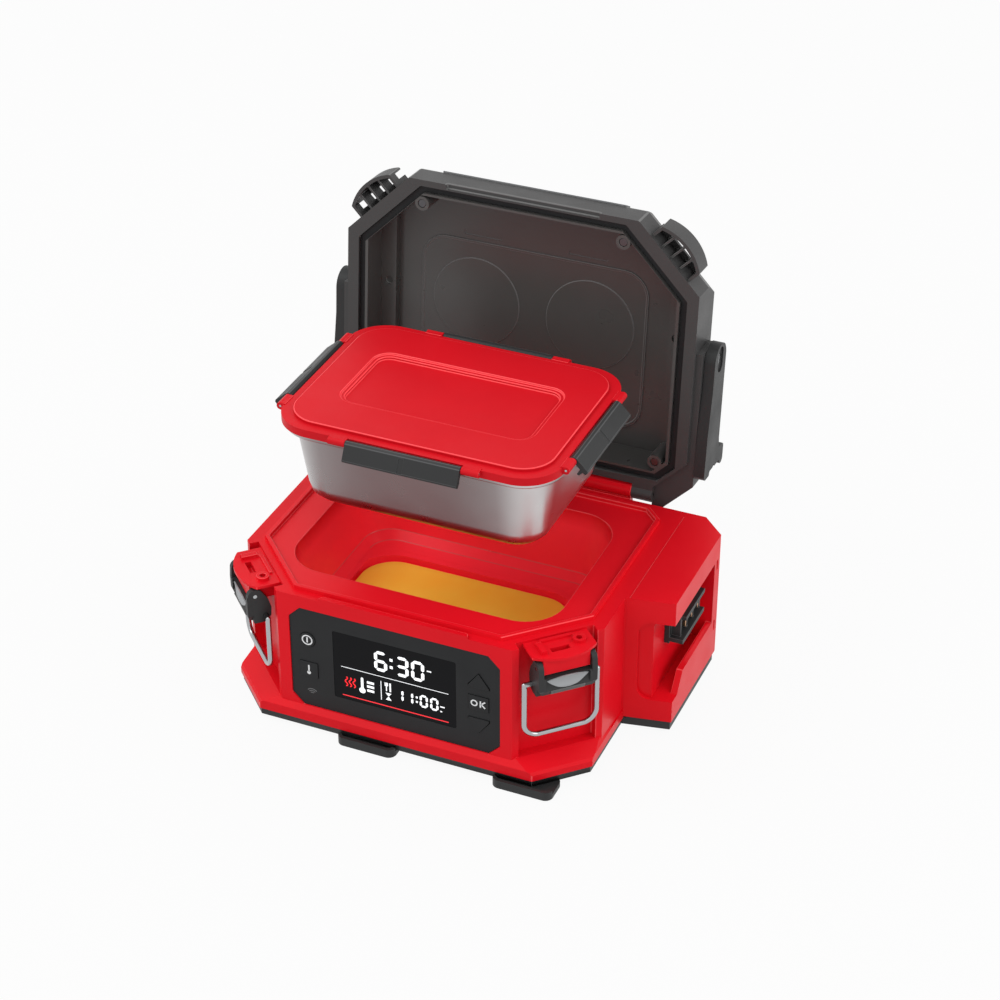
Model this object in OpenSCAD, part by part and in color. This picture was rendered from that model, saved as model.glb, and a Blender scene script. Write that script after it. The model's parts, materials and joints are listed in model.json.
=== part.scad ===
// Battery-heated lunch box: a hinged octagonal box with a heated bay, a steel food container,
// a control panel, two draw latches, a carry handle and a battery bay on its right side.
// Drawn as photographed: lid open, container lifted above its bay.
// Frame: origin in the middle of the underside, +X to the right, +Y to the back, +Z up.

/* [Body] */
// Width of the main body, without the battery wing
body_w = 280; // [278:1:282]
// Depth of the main body
body_d = 210; // [209:1:212]
// Height of the flat rim above the table
rim_z = 117; // [116.5:0.5:117.5]
// Length of each leg of the two front chamfers
chamfer_leg = 49; // [48.5:0.5:49.5]
// How far the battery wing stands out on the right
wing_w = 36; // [34:1:40]

/* [Bay] */
// Width of the heated bay at the deck
bay_w = 209; // [208:1:210]
// Depth of the heated bay at the deck
bay_d = 147; // [147:1:148]
// Height of the heating plate's top face
plate_z = 57.5; // [57:0.5:57.5]

/* [Lid] */
// Height of the lid from its face to its top
lid_h = 35; // [35:0.5:37]
// Angle that the lid stands open in the rest pose
lid_open = 95; // [0:1:95]
// Height of the hinge axis
hinge_z = 122; // [121.5:0.5:122.5]

/* [Container] */
// Width of the food container's lid flange
food_w = 212; // [208:1:212]
// Depth of the food container's lid flange
food_d = 159; // [156:1:159]
// Height of the container's lid top when it stands in the bay
food_top = 135.5; // [135:0.5:136]
// How far the container is lifted out of its bay in the rest pose
food_lift = 106; // [0:1:106]
// Opening angle of the front clip in the rest pose
front_clip_angle = 28; // [0:1:28]
// Opening angle of the right clip in the rest pose
right_clip_angle = 45; // [0:1:45]
// Opening angle of the left clip in the rest pose
left_clip_angle = 50; // [0:1:50]
// Opening angle of the back clip in the rest pose
back_clip_angle = 13; // [0:1:14]

/* [Latches] */
// Diameter of the latch bail's steel wire
bail_wire_d = 4; // [3.6:0.2:4]
// Length of a bail from its pivot to the middle of its bar
bail_reach = 45.2; // [44.8:0.1:45.2]

/* [Hidden] */
$fn = 48;
half_w = body_w / 2;
half_d = body_d / 2;
eps = 0.02;
wall = 3;
red = [0.80, 0.06, 0.09];
black = [0.09, 0.095, 0.095];
grey = [0.30, 0.31, 0.32];
steel = [0.72, 0.73, 0.74];
amber = [0.93, 0.58, 0.08];
board_green = [0.05, 0.30, 0.16];
copper = [0.80, 0.50, 0.30];

// Skirt and tray at the foot of the body
skirt_bottom = 10;
skirt_top = 17.5;
skirt_out = 4;
skirt_half_w = half_w + 1;
skirt_front = -half_d - skirt_out;
skirt_chamfer = 33;
ledge_top = 22.3;
tray_floor = 4;
cleat_centres = [-21, 101];
cleat_w = 46;

// Seal ridge on the deck
ridge_half_w = 129;
ridge_front = -98;
ridge_back = 97;
ridge_w = 3.2;
ridge_top = rim_z + 3.3;
ridge_leg = 49;
ridge_back_leg = 12.5;
deck_t = 3;

// Bay, plate and what lies under it
bay_y = 1.5;
bay_r = 30;
bay_floor = plate_z + 3.5;
plate_half = [84, 40];
recess_half = [88, 43];
plate_r = 27;

// Battery wing
wing_x = half_w + wing_w;
wing_in_y = -16.5;
wing_out_y = -9;
wing_bottom = 12;
wing_chamfer = 18;
pocket_x = 160;
pocket_low = 30;
pocket_sill = 45;
pocket_high = 98;
pocket_end = 76;
wire_x = 140;
wire_y = 88;
wire_r = 1.4;

// Control panel on the front
panel_half_w = 82;
panel_low = 21;
panel_high = 107;
panel_cut = 9;
panel_back_y = -half_d + 3.5;
panel_face_y = -half_d + 0.8;
window_half_w = 48;
window_low = 35.5;
window_high = 93.5;
button_face_y = -half_d + 0.1;

// Latches stand on the chamfers: u outwards, t along the chamfer, z up
latch_x = half_w - chamfer_leg / 2;
latch_y = -half_d + chamfer_leg / 2;
recess_half_t = 29.5;
recess_depth = 7;
lever_pin_u = 12;
lever_pin_z = 106;
lever_pin_r = 1.6;
bail_u = 5;
bail_z = 88.7;
bail_r = bail_wire_d / 2;
bail_half_t = 27.5;
bail_bend = 11;
cheek_in = 18;
cheek_out = 22;
fit_gap = 0.05;

// Hinge behind the back wall
hinge_y = half_d + 7;
hinge_r = 6.5;
hinge_pin_r = 2;
hinge_half = 97.6;
knuckle_from = 98;
knuckle_to = 114;

// Lid, in its closed place
face_z = rim_z + 0.3;
lid_half_w = 139;
lid_front = -half_d + 1;
lid_back = half_d - 0.5;
lid_back_leg = 25;
lid_top = face_z + lid_h;
groove_out = 1.2;
groove_in = 1.2;
gasket_low = face_z + 3.6;
gasket_high = face_z + 5;
cavity_half_w = 122.4;
cavity_front = -92;
cavity_back = 91;
cavity_leg = 43;
cavity_top = face_z + lid_h - 4;
ledge_z = face_z + 24;
ledge_half_w = 110;
lid_waist = face_z + 21;
lid_shoulder = lid_top - 4;
lid_taper = 4.5;
lid_bevel = 6.5;
rail_x = 143.95;
rail_corner = 243;
rail_end_y = 124;

// Carry handle on the lid's sides
handle_y = -1;
handle_z = face_z + 20;
handle_pin_r = 4;
arm_in = 144.3;
arm_out = 152.5;
arm_r = 12.5;
arm_end_y = 92;
arm_low = face_z + 2.7;
bar_y = 85;
bar_z = lid_top + 5.7;
bar_r = 4.2;
bar_spread = 4;
grip_half = 62;

// Food container, in its place in the bay
food_y = 1;
flange_r = 30;
flange_low = food_top - 8.5;
flange_high = food_top - 2.5;
rim_centre_z = food_top - 11.2;
rim_r = 2;
pan_low = food_top - 74;
pan_wall = 1;
pan_foot_z = plate_z + 0.1;
pivot_z = food_top - 4.5;
pivot_out = 2;
front_clip_half = 43;
side_clip_half = 41;
clip_pin_r = 0.9;
clip_barrel_r = 2.6;

// Eight-sided plan with front and back chamfers
function plan(hw, y0, y1, cf, cb) = [
  [-hw, y0 + cf], [-hw + cf, y0], [hw - cf, y0], [hw, y0 + cf],
  [hw, y1 - cb], [hw - cb, y1], [-hw + cb, y1], [-hw, y1 - cb]
];

// Plan of the housing: its back right corner runs on into the battery wing
function body_plan(hw, y0, y1, cf, cb) = [
  [-hw, y0 + cf], [-hw + cf, y0], [hw - cf, y0], [hw, y0 + cf], [hw, y1], [-hw + cb, y1], [-hw, y1 - cb]
];

// Leg of a 45 degree chamfer after its outline is moved inwards by o
function leg(c, o) = c - o * (2 - sqrt(2));

module prism(points, z0, z1) {
  translate([0, 0, z0]) linear_extrude(z1 - z0) polygon(points);
}

module block(low, high) {
  translate(low) cube(high - low);
}

// Rounded rectangle with half sizes hx, hy and corner radius r
module rounded(hx, hy, r) {
  square([2 * (hx - r), 2 * hy], center = true);
  square([2 * hx, 2 * (hy - r)], center = true);
  for (x = [-1, 1], y = [-1, 1]) translate([x * (hx - r), y * (hy - r)]) circle(r);
}

module slab(hx, hy, r, z0, z1) {
  translate([0, 0, z0]) linear_extrude(z1 - z0) rounded(hx, hy, r);
}

// Round bead that follows a rounded rectangle
module bead(hx, hy, r, bead_r) {
  for (i = [0:3]) {
    sx = [1, -1, -1, 1][i];
    sy = [1, 1, -1, -1][i];
    translate([sx * (hx - r), sy * (hy - r), 0])
      rotate([0, 0, 90 * i]) rotate_extrude(angle = 90) translate([r, 0]) circle(bead_r);
  }
  for (s = [-1, 1]) {
    translate([0, s * hy, 0]) rotate([0, 90, 0]) cylinder(r = bead_r, h = 2 * (hx - r), center = true);
    translate([s * hx, 0, 0]) rotate([90, 0, 0]) cylinder(r = bead_r, h = 2 * (hy - r), center = true);
  }
}

// Cylinder along X or along the latch's t axis, centred
module rod_x(r, len) {
  rotate([0, 90, 0]) cylinder(r = r, h = len, center = true);
}
module rod_y(r, len) {
  rotate([90, 0, 0]) cylinder(r = r, h = len, center = true);
}

// Outline in the X-Z plane pushed from y0 to y1
module front_plate(y0, y1) {
  translate([0, y1, 0]) rotate([90, 0, 0]) linear_extrude(y1 - y0) children();
}

// Outline in the Y-Z plane pushed from x0 to x1
module along_x(x0, x1) {
  translate([x0, 0, 0]) rotate([90, 0, 90]) linear_extrude(x1 - x0) children();
}

// Outline in the u-z plane, pushed along t from t0 to t1
module along_t(t0, t1) {
  translate([0, t1, 0]) rotate([90, 0, 0]) linear_extrude(t1 - t0) children();
}

// Places a latch part: side is -1 for the left chamfer and 1 for the right one
module at_latch(side) {
  translate([side * latch_x, latch_y, 0]) rotate([0, 0, side > 0 ? -45 : -135]) children();
}

// Turns a lid part from its closed place to the rest pose
module opened() {
  translate([0, hinge_y, hinge_z]) rotate([-lid_open, 0, 0]) translate([0, -hinge_y, -hinge_z]) children();
}

// Lifts a container part from the bay to the rest pose
module lifted() {
  translate([0, food_y, food_lift]) children();
}

module wing_plan(inset) {
  polygon([
    [half_w - wall, wing_in_y + inset], [wing_x - inset, wing_out_y + inset],
    [wing_x - inset, half_d - wing_chamfer - inset / 2], [wing_x - wing_chamfer - inset / 2, half_d - inset],
    [half_w - wall - eps, half_d - inset]
  ]);
}

// Ledge at the foot of a chamfer: recess floor, slope and skirt edge
module chamfer_ledge(side) {
  at_latch(side) along_t(-60, 60) polygon([
    [-12, skirt_bottom], [16, skirt_bottom], [16, skirt_bottom + 3], [13.4, 17], [0.3, ledge_top], [-12, ledge_top]
  ]);
}

// Space above a chamfer's ledge
module above_ledge(side) {
  at_latch(side) along_t(-60, 60) polygon([
    [0.3, ledge_top], [13.4, 17], [16, skirt_bottom + 3], [40, skirt_bottom + 3], [40, 60], [0.3, 60]
  ]);
}

// Foot of the body: a straight band, then a bevel that leans back to the walls
module skirt() {
  difference() {
    intersection() {
      union() {
        prism(body_plan(skirt_half_w, skirt_front, half_d, skirt_chamfer, 28), skirt_bottom, skirt_top);
        chamfer_ledge(-1);
        chamfer_ledge(1);
        block([-half_w, skirt_front, skirt_bottom], [half_w, -half_d + 4, skirt_top + 5]);
      }
      prism(body_plan(skirt_half_w, skirt_front, half_d, skirt_chamfer, 28), skirt_bottom, 40);
      along_x(-160, 160) polygon([
        [half_d, skirt_bottom], [skirt_front, skirt_bottom], [skirt_front, skirt_top],
        [skirt_front + 10.5, skirt_top + 9], [skirt_front + 12, 40], [half_d, 40]
      ]);
      front_plate(-160, 160) polygon([
        [-skirt_half_w, skirt_bottom], [skirt_half_w, skirt_bottom], [skirt_half_w, skirt_top],
        [half_w - 5, 32], [half_w - 6, 40], [-half_w + 6, 40], [-half_w + 5, 32], [-skirt_half_w, skirt_top]
      ]);
    }
    above_ledge(-1);
    above_ledge(1);
  }
}

// Octagonal panel outline
module panel_outline(o) {
  x = panel_half_w - o;
  a = panel_low + o;
  b = panel_high - o;
  c = panel_cut - o * 0.59;
  polygon([[-x, a + c], [-x + c, a], [x - c, a], [x, a + c], [x, b - c], [x - c, b], [-x + c, b], [-x, b - c]]);
}

screw_places = [[-62, -93], [62, -93], [-60, 97], [60, 97], [-132, 20], [132, -30]];

// Eight-sided prism on the seal ridge's outline, moved inwards by o
module ridge_prism(o, z0, z1) {
  prism(plan(ridge_half_w - o, ridge_front + o, ridge_back - o, leg(ridge_leg, o), leg(ridge_back_leg, o)), z0, z1);
}

module battery_pocket() {
  // Shallow rounded recess on the wing's front face
  translate([half_w - wall, wing_in_y, 0]) rotate([0, 0, atan2(wing_out_y - wing_in_y, wing_w + wall)])
    front_plate(-5, 3) translate([13.5 + 30, (pocket_low + pocket_high) / 2])
      rounded(30, (pocket_high - pocket_low) / 2, 10);
  // Space that the battery slides into, open to the front and to the right
  front_plate(-30, pocket_end) translate([pocket_x + 20, (pocket_sill + pocket_high) / 2])
    rounded(20, (pocket_high - pocket_sill) / 2, 6);
  block([pocket_x + 10, -30, pocket_sill], [200, pocket_end, pocket_high]);
  block([pocket_x, -30, pocket_low], [pocket_x + 11, pocket_end, pocket_sill + 8]);
  along_x(pocket_x, 200) polygon([
    [-30, pocket_low], [1, pocket_low], [12, pocket_sill], [12, pocket_sill + 8], [-30, pocket_sill + 8]
  ]);
  // Opening for the terminal block and two small slots behind the pocket
  block([pocket_x - 6, 20, 68], [pocket_x + 1, 58, 86]);
  for (z = [35, 89]) block([wing_x - 1.5, 80, z], [wing_x + 1, 83, z + 9]);
}

module housing_shell() {
  color(red) difference() {
    union() {
      prism(body_plan(half_w, -half_d, half_d, chamfer_leg, 28), skirt_bottom, rim_z);
      skirt();
      translate([0, 0, wing_bottom]) linear_extrude(rim_z - wing_bottom) wing_plan(0);
      prism([[-58, -half_d], [58, -half_d], [56, -half_d + 4], [-56, -half_d + 4]], rim_z - 1, rim_z + 2);
    }
    difference() {
      prism(body_plan(half_w - wall, -half_d + 7, half_d - wall, 53, 27), skirt_bottom - 1, rim_z - deck_t);
      for (p = screw_places) translate([p[0], p[1], skirt_bottom]) cylinder(r = 6, h = 24);
    }
    for (p = screw_places) translate([p[0], p[1], skirt_bottom - 1]) cylinder(r = 1.55, h = 20);
    block([half_w - wall - 1, -8, wing_bottom + 2], [pocket_x - 4, half_d - 6, rim_z - deck_t]);
    ridge_prism(0, rim_z - deck_t - 1, rim_z + 5);
    for (s = [-1, 1]) at_latch(s)
      block([-recess_depth, -recess_half_t, ledge_top], [40, recess_half_t, rim_z + 5]);
    front_plate(-half_d - 1, panel_back_y) panel_outline(0);
    block([-52, panel_back_y - 1, 31.5], [52, -half_d + 8, 97.5]);
    block([-79, panel_back_y - 1, 42], [-55, -half_d + 8, 92]);
    block([54, panel_back_y - 1, 34], [77, -half_d + 8, 92]);
    battery_pocket();
    block([half_w + 2.5, wing_in_y + 2, rim_z - 0.8], [half_w + 3.5, half_d - 6, rim_z + 1]);
  }
}

// Rounded tub: a hull of level outlines, grown by o
module tub(o, top, low) {
  fillet = 16;
  half_x = bay_w / 2 - 1.5;
  half_y = bay_d / 2 - 1.5;
  low_x = half_x - 6;
  low_y = half_y - 6;
  hull() {
    slab(half_x + o + 1.5, half_y + o + 1.5, bay_r, top - 0.5, top);
    slab(low_x + o, low_y + o, bay_r - 6, low + fillet, low + fillet + 0.5);
    slab(low_x + o - fillet * 0.12, low_y + o - fillet * 0.12, bay_r - 7,
      low + fillet * 0.5, low + fillet * 0.5 + 0.1);
    slab(low_x + o - fillet * 0.5, low_y + o - fillet * 0.5, bay_r - 12,
      low + fillet * 0.13, low + fillet * 0.13 + 0.1);
    slab(low_x + o - fillet, low_y + o - fillet, bay_r - 18, low, low + 0.1);
  }
}

module bay_liner() {
  color(red) difference() {
    union() {
      ridge_prism(0, rim_z - deck_t, rim_z);
      difference() {
        ridge_prism(0, rim_z - 1, ridge_top);
        ridge_prism(ridge_w, rim_z, ridge_top + 1);
      }
      prism(plan(ridge_half_w + 2, -97.5, 100, 53, 20), rim_z - deck_t - 2.5, rim_z - deck_t);
      translate([0, bay_y, 0]) tub(2.5, rim_z - 1, bay_floor - 2.5);
      translate([0, bay_y, 0])
        slab(recess_half[0] + 2.5, recess_half[1] + 2.5, plate_r + 4, plate_z - 4.5, bay_floor);
    }
    translate([0, bay_y, 0]) tub(0, rim_z + 1, bay_floor);
    translate([0, bay_y, 0]) slab(recess_half[0], recess_half[1], plate_r + 3, plate_z - 2, bay_floor + 1);
    translate([0, bay_y, 0]) slab(plate_half[0] - 6, plate_half[1] - 6, plate_r - 6, plate_z - 6, plate_z);
  }
}

module heating_plate() {
  color(amber) translate([0, bay_y, 0]) slab(plate_half[0], plate_half[1], plate_r, plate_z - 2, plate_z);
}

module heater_element() {
  color(copper) translate([0, bay_y, 0]) slab(74, 30, 18, plate_z - 2.8, plate_z - 2);
}

module plate_insulation() {
  color("gainsboro") translate([0, bay_y, 0]) difference() {
    slab(76, 32, 19, plate_z - 8.5, plate_z - 2.9);
    translate([0, 0, plate_z - 12]) cylinder(r = 5.3, h = 12);
  }
}

module temperature_probe() {
  color(steel) translate([0, bay_y, 0]) {
    translate([0, 0, plate_z - 12]) cylinder(r = 5, h = 9);
    translate([0, 0, plate_z - 18]) cylinder(r = 2.5, h = 7);
  }
}

module thermal_cutout() {
  color(steel) translate([40, bay_y, 0]) {
    translate([0, 0, plate_z - 14]) cylinder(r = 8, h = 5.4);
    translate([-3, 0, plate_z - 20]) cylinder(r = 1.2, h = 7);
    translate([3, 0, plate_z - 20]) cylinder(r = 1.2, h = 7);
  }
}

module tray_plan(o) {
  polygon(body_plan(skirt_half_w - 1.5 - o, skirt_front + 1.5 + o, half_d - 1.5 - o,
    leg(skirt_chamfer, 1.5 + o), leg(28, 1.5 + o)));
}

module bottom_tray() {
  color(black) difference() {
    union() {
      translate([0, 0, tray_floor]) linear_extrude(skirt_bottom - tray_floor) tray_plan(0);
      prism(plan(112, -84, 84, 30, 20), 0, tray_floor + 1);
      translate([0, 0, tray_floor]) linear_extrude(wing_bottom - tray_floor) difference() {
        wing_plan(1.5);
        translate([-100, -100]) square([half_w + 103, 300]);
      }
      translate([0, 0, tray_floor]) linear_extrude(skirt_bottom - tray_floor) wing_plan(1.5);
    }
    translate([0, 0, tray_floor + 2.5]) linear_extrude(20) tray_plan(3);
    prism(plan(109, -81, 81, 30, 20), 2.5, 20);
    for (p = screw_places) {
      translate([p[0], p[1], -1]) cylinder(r = 1.8, h = 20);
      translate([p[0], p[1], -1]) cylinder(r = 3.4, h = 6);
    }
  }
}

// Hooks under the front edge that lock the box onto a lid below it
module front_cleats() {
  color(black) for (c = cleat_centres) translate([c, -102, 0]) {
    slab(cleat_w / 2, 12, 6, 0, tray_floor);
    intersection() {
      difference() {
        slab(cleat_w / 2, 12, 6, tray_floor - 1, tray_floor + 3);
        slab(cleat_w / 2 - 2.6, 9.6, 4, tray_floor, tray_floor + 4);
      }
      block([-30, -13, 0], [30, -7.2, 10]);
    }
  }
}

module rear_feet() {
  color(black) for (s = [-1, 1]) translate([s * 98, 93, 0]) slab(16, 6, 3, 0, tray_floor);
}

module housing_screws() {
  color(steel) for (p = screw_places) translate([p[0], p[1], 0]) {
    translate([0, 0, 3.2]) cylinder(r = 3, h = 1.8);
    translate([0, 0, 4]) cylinder(r = 1.5, h = 22);
  }
}

module button_shape(kind, o) {
  if (kind == "power") translate([-68, 80.2]) circle(6 + o);
  if (kind == "temperature") translate([-67.7, 54]) square([14 + 2 * o, 13 + 2 * o], center = true);
  if (kind == "ok") translate([65.4, 63.2]) square([15.5 + 2 * o, 12.5 + 2 * o], center = true);
  low_x = 57.5 - 1.6 * o;
  high_x = 73.5 + 1.6 * o;
  if (kind == "up") polygon([
    [low_x, 76.5 - o], [high_x, 76.5 - o], [high_x, 78 + o], [65.5, 89 + 1.4 * o], [low_x, 78 + o]
  ]);
  if (kind == "down") polygon([
    [low_x, 49.8 + o], [high_x, 49.8 + o], [high_x, 48.3 - o], [65.5, 37.3 - 1.4 * o], [low_x, 48.3 - o]
  ]);
}
buttons = ["power", "temperature", "up", "ok", "down"];

module window_outline(o, r) {
  translate([0, (window_low + window_high) / 2])
    rounded(window_half_w - o, (window_high - window_low) / 2 - o, r);
}

module panel_frame() {
  color(black) difference() {
    front_plate(panel_face_y, panel_back_y) panel_outline(0.3);
    front_plate(panel_face_y - 1, panel_back_y + 1) window_outline(0, 1.5);
    for (b = buttons) front_plate(panel_face_y - 1, panel_back_y + 1) button_shape(b, 0.3);
  }
}

module display_window() {
  color([0.02, 0.02, 0.025]) front_plate(panel_face_y + 0.2, panel_face_y + 2.2) window_outline(0.1, 1.4);
}

module display_module() {
  color(grey) block([-51, panel_back_y + 0.1, 32.5], [51, panel_back_y + 7.5, 96.5]);
}

module control_board() {
  color(board_green) block([-79, -half_d + 15, 36], [79, -half_d + 16.6, 100]);
}

module power_board() {
  color(board_green) block([-50, 92, 20], [50, 93.6, 90]);
  color(black) for (x = [-34, -8, 20]) translate([x, 86, 40]) rotate([-90, 0, 0]) cylinder(r = 7, h = 6);
  color(grey) block([38, 84, 70], [49.5, 92, 84]);
}

module button_pads() {
  color(grey) {
    block([-78, panel_back_y + 1.7, 43], [-56, panel_back_y + 3.4, 91]);
    block([55, panel_back_y + 1.7, 35], [76, panel_back_y + 3.4, 91]);
  }
}

module button(kind) {
  color(black) {
    front_plate(button_face_y, panel_back_y + 0.1) button_shape(kind, 0);
    front_plate(panel_back_y + 0.1, panel_back_y + 0.6) button_shape(kind, 0.9);
  }
}

module terminal_block() {
  color(black) difference() {
    union() {
      block([pocket_x, 14, 64], [pocket_x + 4, 64, 89]);
      block([pocket_x - 8, 21, 69], [pocket_x, 57, 85]);
      block([pocket_x, 14, 66], [pocket_x + 14.5, 60, 69.6]);
      block([pocket_x, 20, 83], [pocket_x + 14.5, 60, 86.4]);
      for (y = [18, 31, 44, 57]) block([pocket_x, y, 67], [pocket_x + 11, y + 3, 86]);
    }
    for (y = [25, 38, 51]) block([pocket_x + 2, y, 73.5], [pocket_x + 20, y + 2, 80.5]);
  }
}

module terminal_blades() {
  color(copper) for (y = [25, 38, 51]) block([pocket_x + 2, y + 0.4, 74], [pocket_x + 12, y + 1.6, 80]);
}

// Leads from the terminal block round the back of the bay to the power board
module battery_wires() {
  color([0.6, 0.05, 0.05]) for (z = [74, 80]) {
    translate([wire_x, 39, z]) rotate([0, 90, 0]) cylinder(r = wire_r, h = pocket_x - 8 - wire_x);
    translate([wire_x, 39, z]) sphere(wire_r);
    translate([wire_x, 39, z]) rotate([-90, 0, 0]) cylinder(r = wire_r, h = wire_y - 39);
    translate([wire_x, wire_y, z]) sphere(wire_r);
    translate([49.5, wire_y, z]) rotate([0, 90, 0]) cylinder(r = wire_r, h = wire_x - 49.5);
  }
}

// Moulded bracket at the rim: a bowed shelf over the block that holds the lever's pin
module latch_bracket(side) {
  color(red) at_latch(side) difference() {
    union() {
      intersection() {
        translate([-18.6, 0, 113.5]) cylinder(r = 38.1, h = 2, $fn = 96);
        block([-recess_depth, -24, 113], [30, 24, 116]);
      }
      block([-recess_depth, -17.5, 101], [15, 17.5, 114]);
      block([-1, -17, 115], [11, -12.8, 118]);
      block([-3, -17, 115], [-1, -12.8, 117.1]);
      block([-5, -12.8, 115], [-2.4, 11, 117.1]);
      translate([3.4, 14, 115]) cylinder(r = 4.6, h = 3);
    }
    translate([3.4, 14, 112.5]) cylinder(r = 2.4, h = 8);
    block([5.5, -9, 110.5], [10, 5, 120]);
    translate([lever_pin_u, 0, lever_pin_z]) rod_y(lever_pin_r + fit_gap, 60);
    block([-recess_depth - 1, -12, 100], [5, 12, 107]);
  }
}

module lever_pin(side) {
  color(steel) at_latch(side) translate([lever_pin_u, 0, lever_pin_z]) rod_y(lever_pin_r, 2 * cheek_out - 0.4);
}

// Side profile of a lever cheek, rounded round the pin
module cheek_profile() {
  translate([lever_pin_u, lever_pin_z]) circle(5.8);
  polygon([
    [8, 110], [17.8, lever_pin_z], [18.2, 99], [18, 89], [16.4, 85], [13, 83], [6.5, 83],
    [2.6, 84.6], [0.8, 88], [0.5, 95], [2.5, 102]
  ]);
}

// Lever with two cheeks on the pin and a scooped front plate; the bail hangs in the cheeks
module latch_lever(side) {
  color(black) at_latch(side) difference() {
    union() {
      for (t = [-cheek_out, cheek_in]) along_t(t, t + cheek_out - cheek_in) cheek_profile();
      along_t(-cheek_in - 0.5, cheek_in + 0.5) polygon([
        [9, 98.6], [13, 99.5], [17.2, 99.2], [18.2, 97.8], [18, 89], [16.4, 85], [13, 83], [9, 83]
      ]);
    }
    translate([lever_pin_u, 0, lever_pin_z]) rod_y(lever_pin_r + fit_gap, 60);
    for (s = [-1, 1]) {
      translate([bail_u, s * 23.5, bail_z]) rod_y(bail_r + fit_gap, 9);
      // Lower corners of the front, drawn in towards the middle
      translate([14, s * 17, 83]) rotate([0, 90, 0]) linear_extrude(8)
        polygon([[1, 0], [-7, s * 5], [-7, s * 8], [1, s * 8]]);
    }
    translate([26.2, 0, 95]) rod_y(10, 33);
  }
}

// Pale lens-shaped grip pad in the lever's scoop
module lever_grip(side) {
  color(grey) at_latch(side) intersection() {
    translate([26.2, 0, 95]) difference() {
      rod_y(10, 32.8);
      rod_y(9, 40);
    }
    block([14, -16.3, 88], [18.1, 16.3, 101]);
    translate([0, 0, 109.4]) rotate([0, 90, 0]) cylinder(r = 19.8, h = 60, center = true, $fn = 96);
    translate([0, 0, 43.3]) rotate([0, 90, 0]) cylinder(r = 55.9, h = 60, center = true, $fn = 144);
  }
}

// Steel wire bail, hanging open
module latch_bail(side) {
  low = bail_z - bail_reach;
  color(steel) at_latch(side) translate([bail_u, 0, 0]) {
    for (s = [-1, 1]) {
      translate([0, s * 23.8, bail_z]) rod_y(bail_r, 7.4);
      translate([0, s * bail_half_t, bail_z]) sphere(bail_r);
      translate([0, s * bail_half_t, low + bail_bend]) cylinder(r = bail_r, h = bail_reach - bail_bend);
      translate([0, s * (bail_half_t - bail_bend), low + bail_bend]) rotate([0, 90, 0])
        rotate([0, 0, s > 0 ? 0 : -90]) rotate_extrude(angle = 90) translate([bail_bend, 0]) circle(bail_r);
    }
    translate([0, 0, low]) rod_y(bail_r, 2 * (bail_half_t - bail_bend));
  }
}

module hinge_mount() {
  color(red) difference() {
    union() {
      translate([0, hinge_y, hinge_z]) rod_x(hinge_r, 2 * hinge_half);
      block([-hinge_half, half_d, hinge_z - 18], [hinge_half, half_d + 7, hinge_z - 4.5]);
    }
    translate([0, hinge_y, hinge_z]) rod_x(hinge_pin_r + fit_gap, 300);
  }
}

module hinge_pin() {
  color(steel) translate([0, hinge_y, hinge_z]) rod_x(hinge_pin_r, 2 * knuckle_to - 1);
}

// Outline of the lid: its sides stand straight, its front, back and chamfers lean in by o
function lid_plan(o) = plan(lid_half_w, lid_front + o, lid_back - o,
  chamfer_leg + o * (sqrt(2) - 1), lid_back_leg + o * (sqrt(2) - 1));

// Rail along the lid's right side that carries the handle's pivot and turns in behind the hinge
module side_rail() {
  prism([
    [lid_half_w - 10, handle_y - 8], [rail_x, handle_y - 8], [rail_x, rail_corner - rail_x],
    [rail_corner - rail_end_y, rail_end_y], [knuckle_to - 1, rail_end_y], [knuckle_to - 1, lid_back - 5],
    [lid_half_w - 10, 86]
  ], face_z + 4, face_z + 31);
}

module lid_shell() {
  color(black) opened() difference() {
    union() {
      prism(lid_plan(0), face_z, lid_waist);
      hull() {
        prism(lid_plan(0), lid_waist - 0.1, lid_waist);
        prism(lid_plan(lid_taper), lid_shoulder - 0.1, lid_shoulder);
      }
      hull() {
        prism(lid_plan(lid_taper), lid_shoulder - 0.1, lid_shoulder);
        prism(lid_plan(lid_bevel), lid_top - 0.1, lid_top);
      }
      for (s = [-1, 1]) {
        mirror([s > 0 ? 0 : 1, 0, 0]) side_rail();
        translate([s * (knuckle_from + knuckle_to) / 2, hinge_y, hinge_z]) rod_x(hinge_r, knuckle_to - knuckle_from);
        block([s > 0 ? knuckle_from : -knuckle_to, lid_back - 3, face_z],
          [s > 0 ? knuckle_to : -knuckle_from, hinge_y, hinge_z + hinge_r]);
      }
    }
    ridge_prism(-groove_out, face_z - 1, lid_waist);
    translate([0, 0, face_z]) linear_extrude(lid_h - 2.4) liner_cavity(3);
    block([-60, lid_front - 1, face_z - 1], [60, lid_front + 4, face_z + 2.6]);
    for (s = [-1, 1]) {
      translate([s * lid_half_w, handle_y, handle_z]) rod_x(handle_pin_r + 0.02, 12);
    }
    translate([0, hinge_y, hinge_z]) rod_x(hinge_pin_r + fit_gap, 2 * knuckle_to);
  }
}

// Corner bosses of the liner and the screws in them
boss_places = [[-79, -85.5], [79, -85.5], [-114, 83], [114, 83]];

// Body of the liner that stands inside the seal ridge, grown by o
module liner_body(o, z0, z1) {
  ridge_prism(ridge_w + groove_in - o, z0, z1);
}

module liner_cavity(o) {
  polygon(plan(cavity_half_w + o, cavity_front - o, cavity_back + o, leg(cavity_leg, -o), leg(10, -o)));
}

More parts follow.
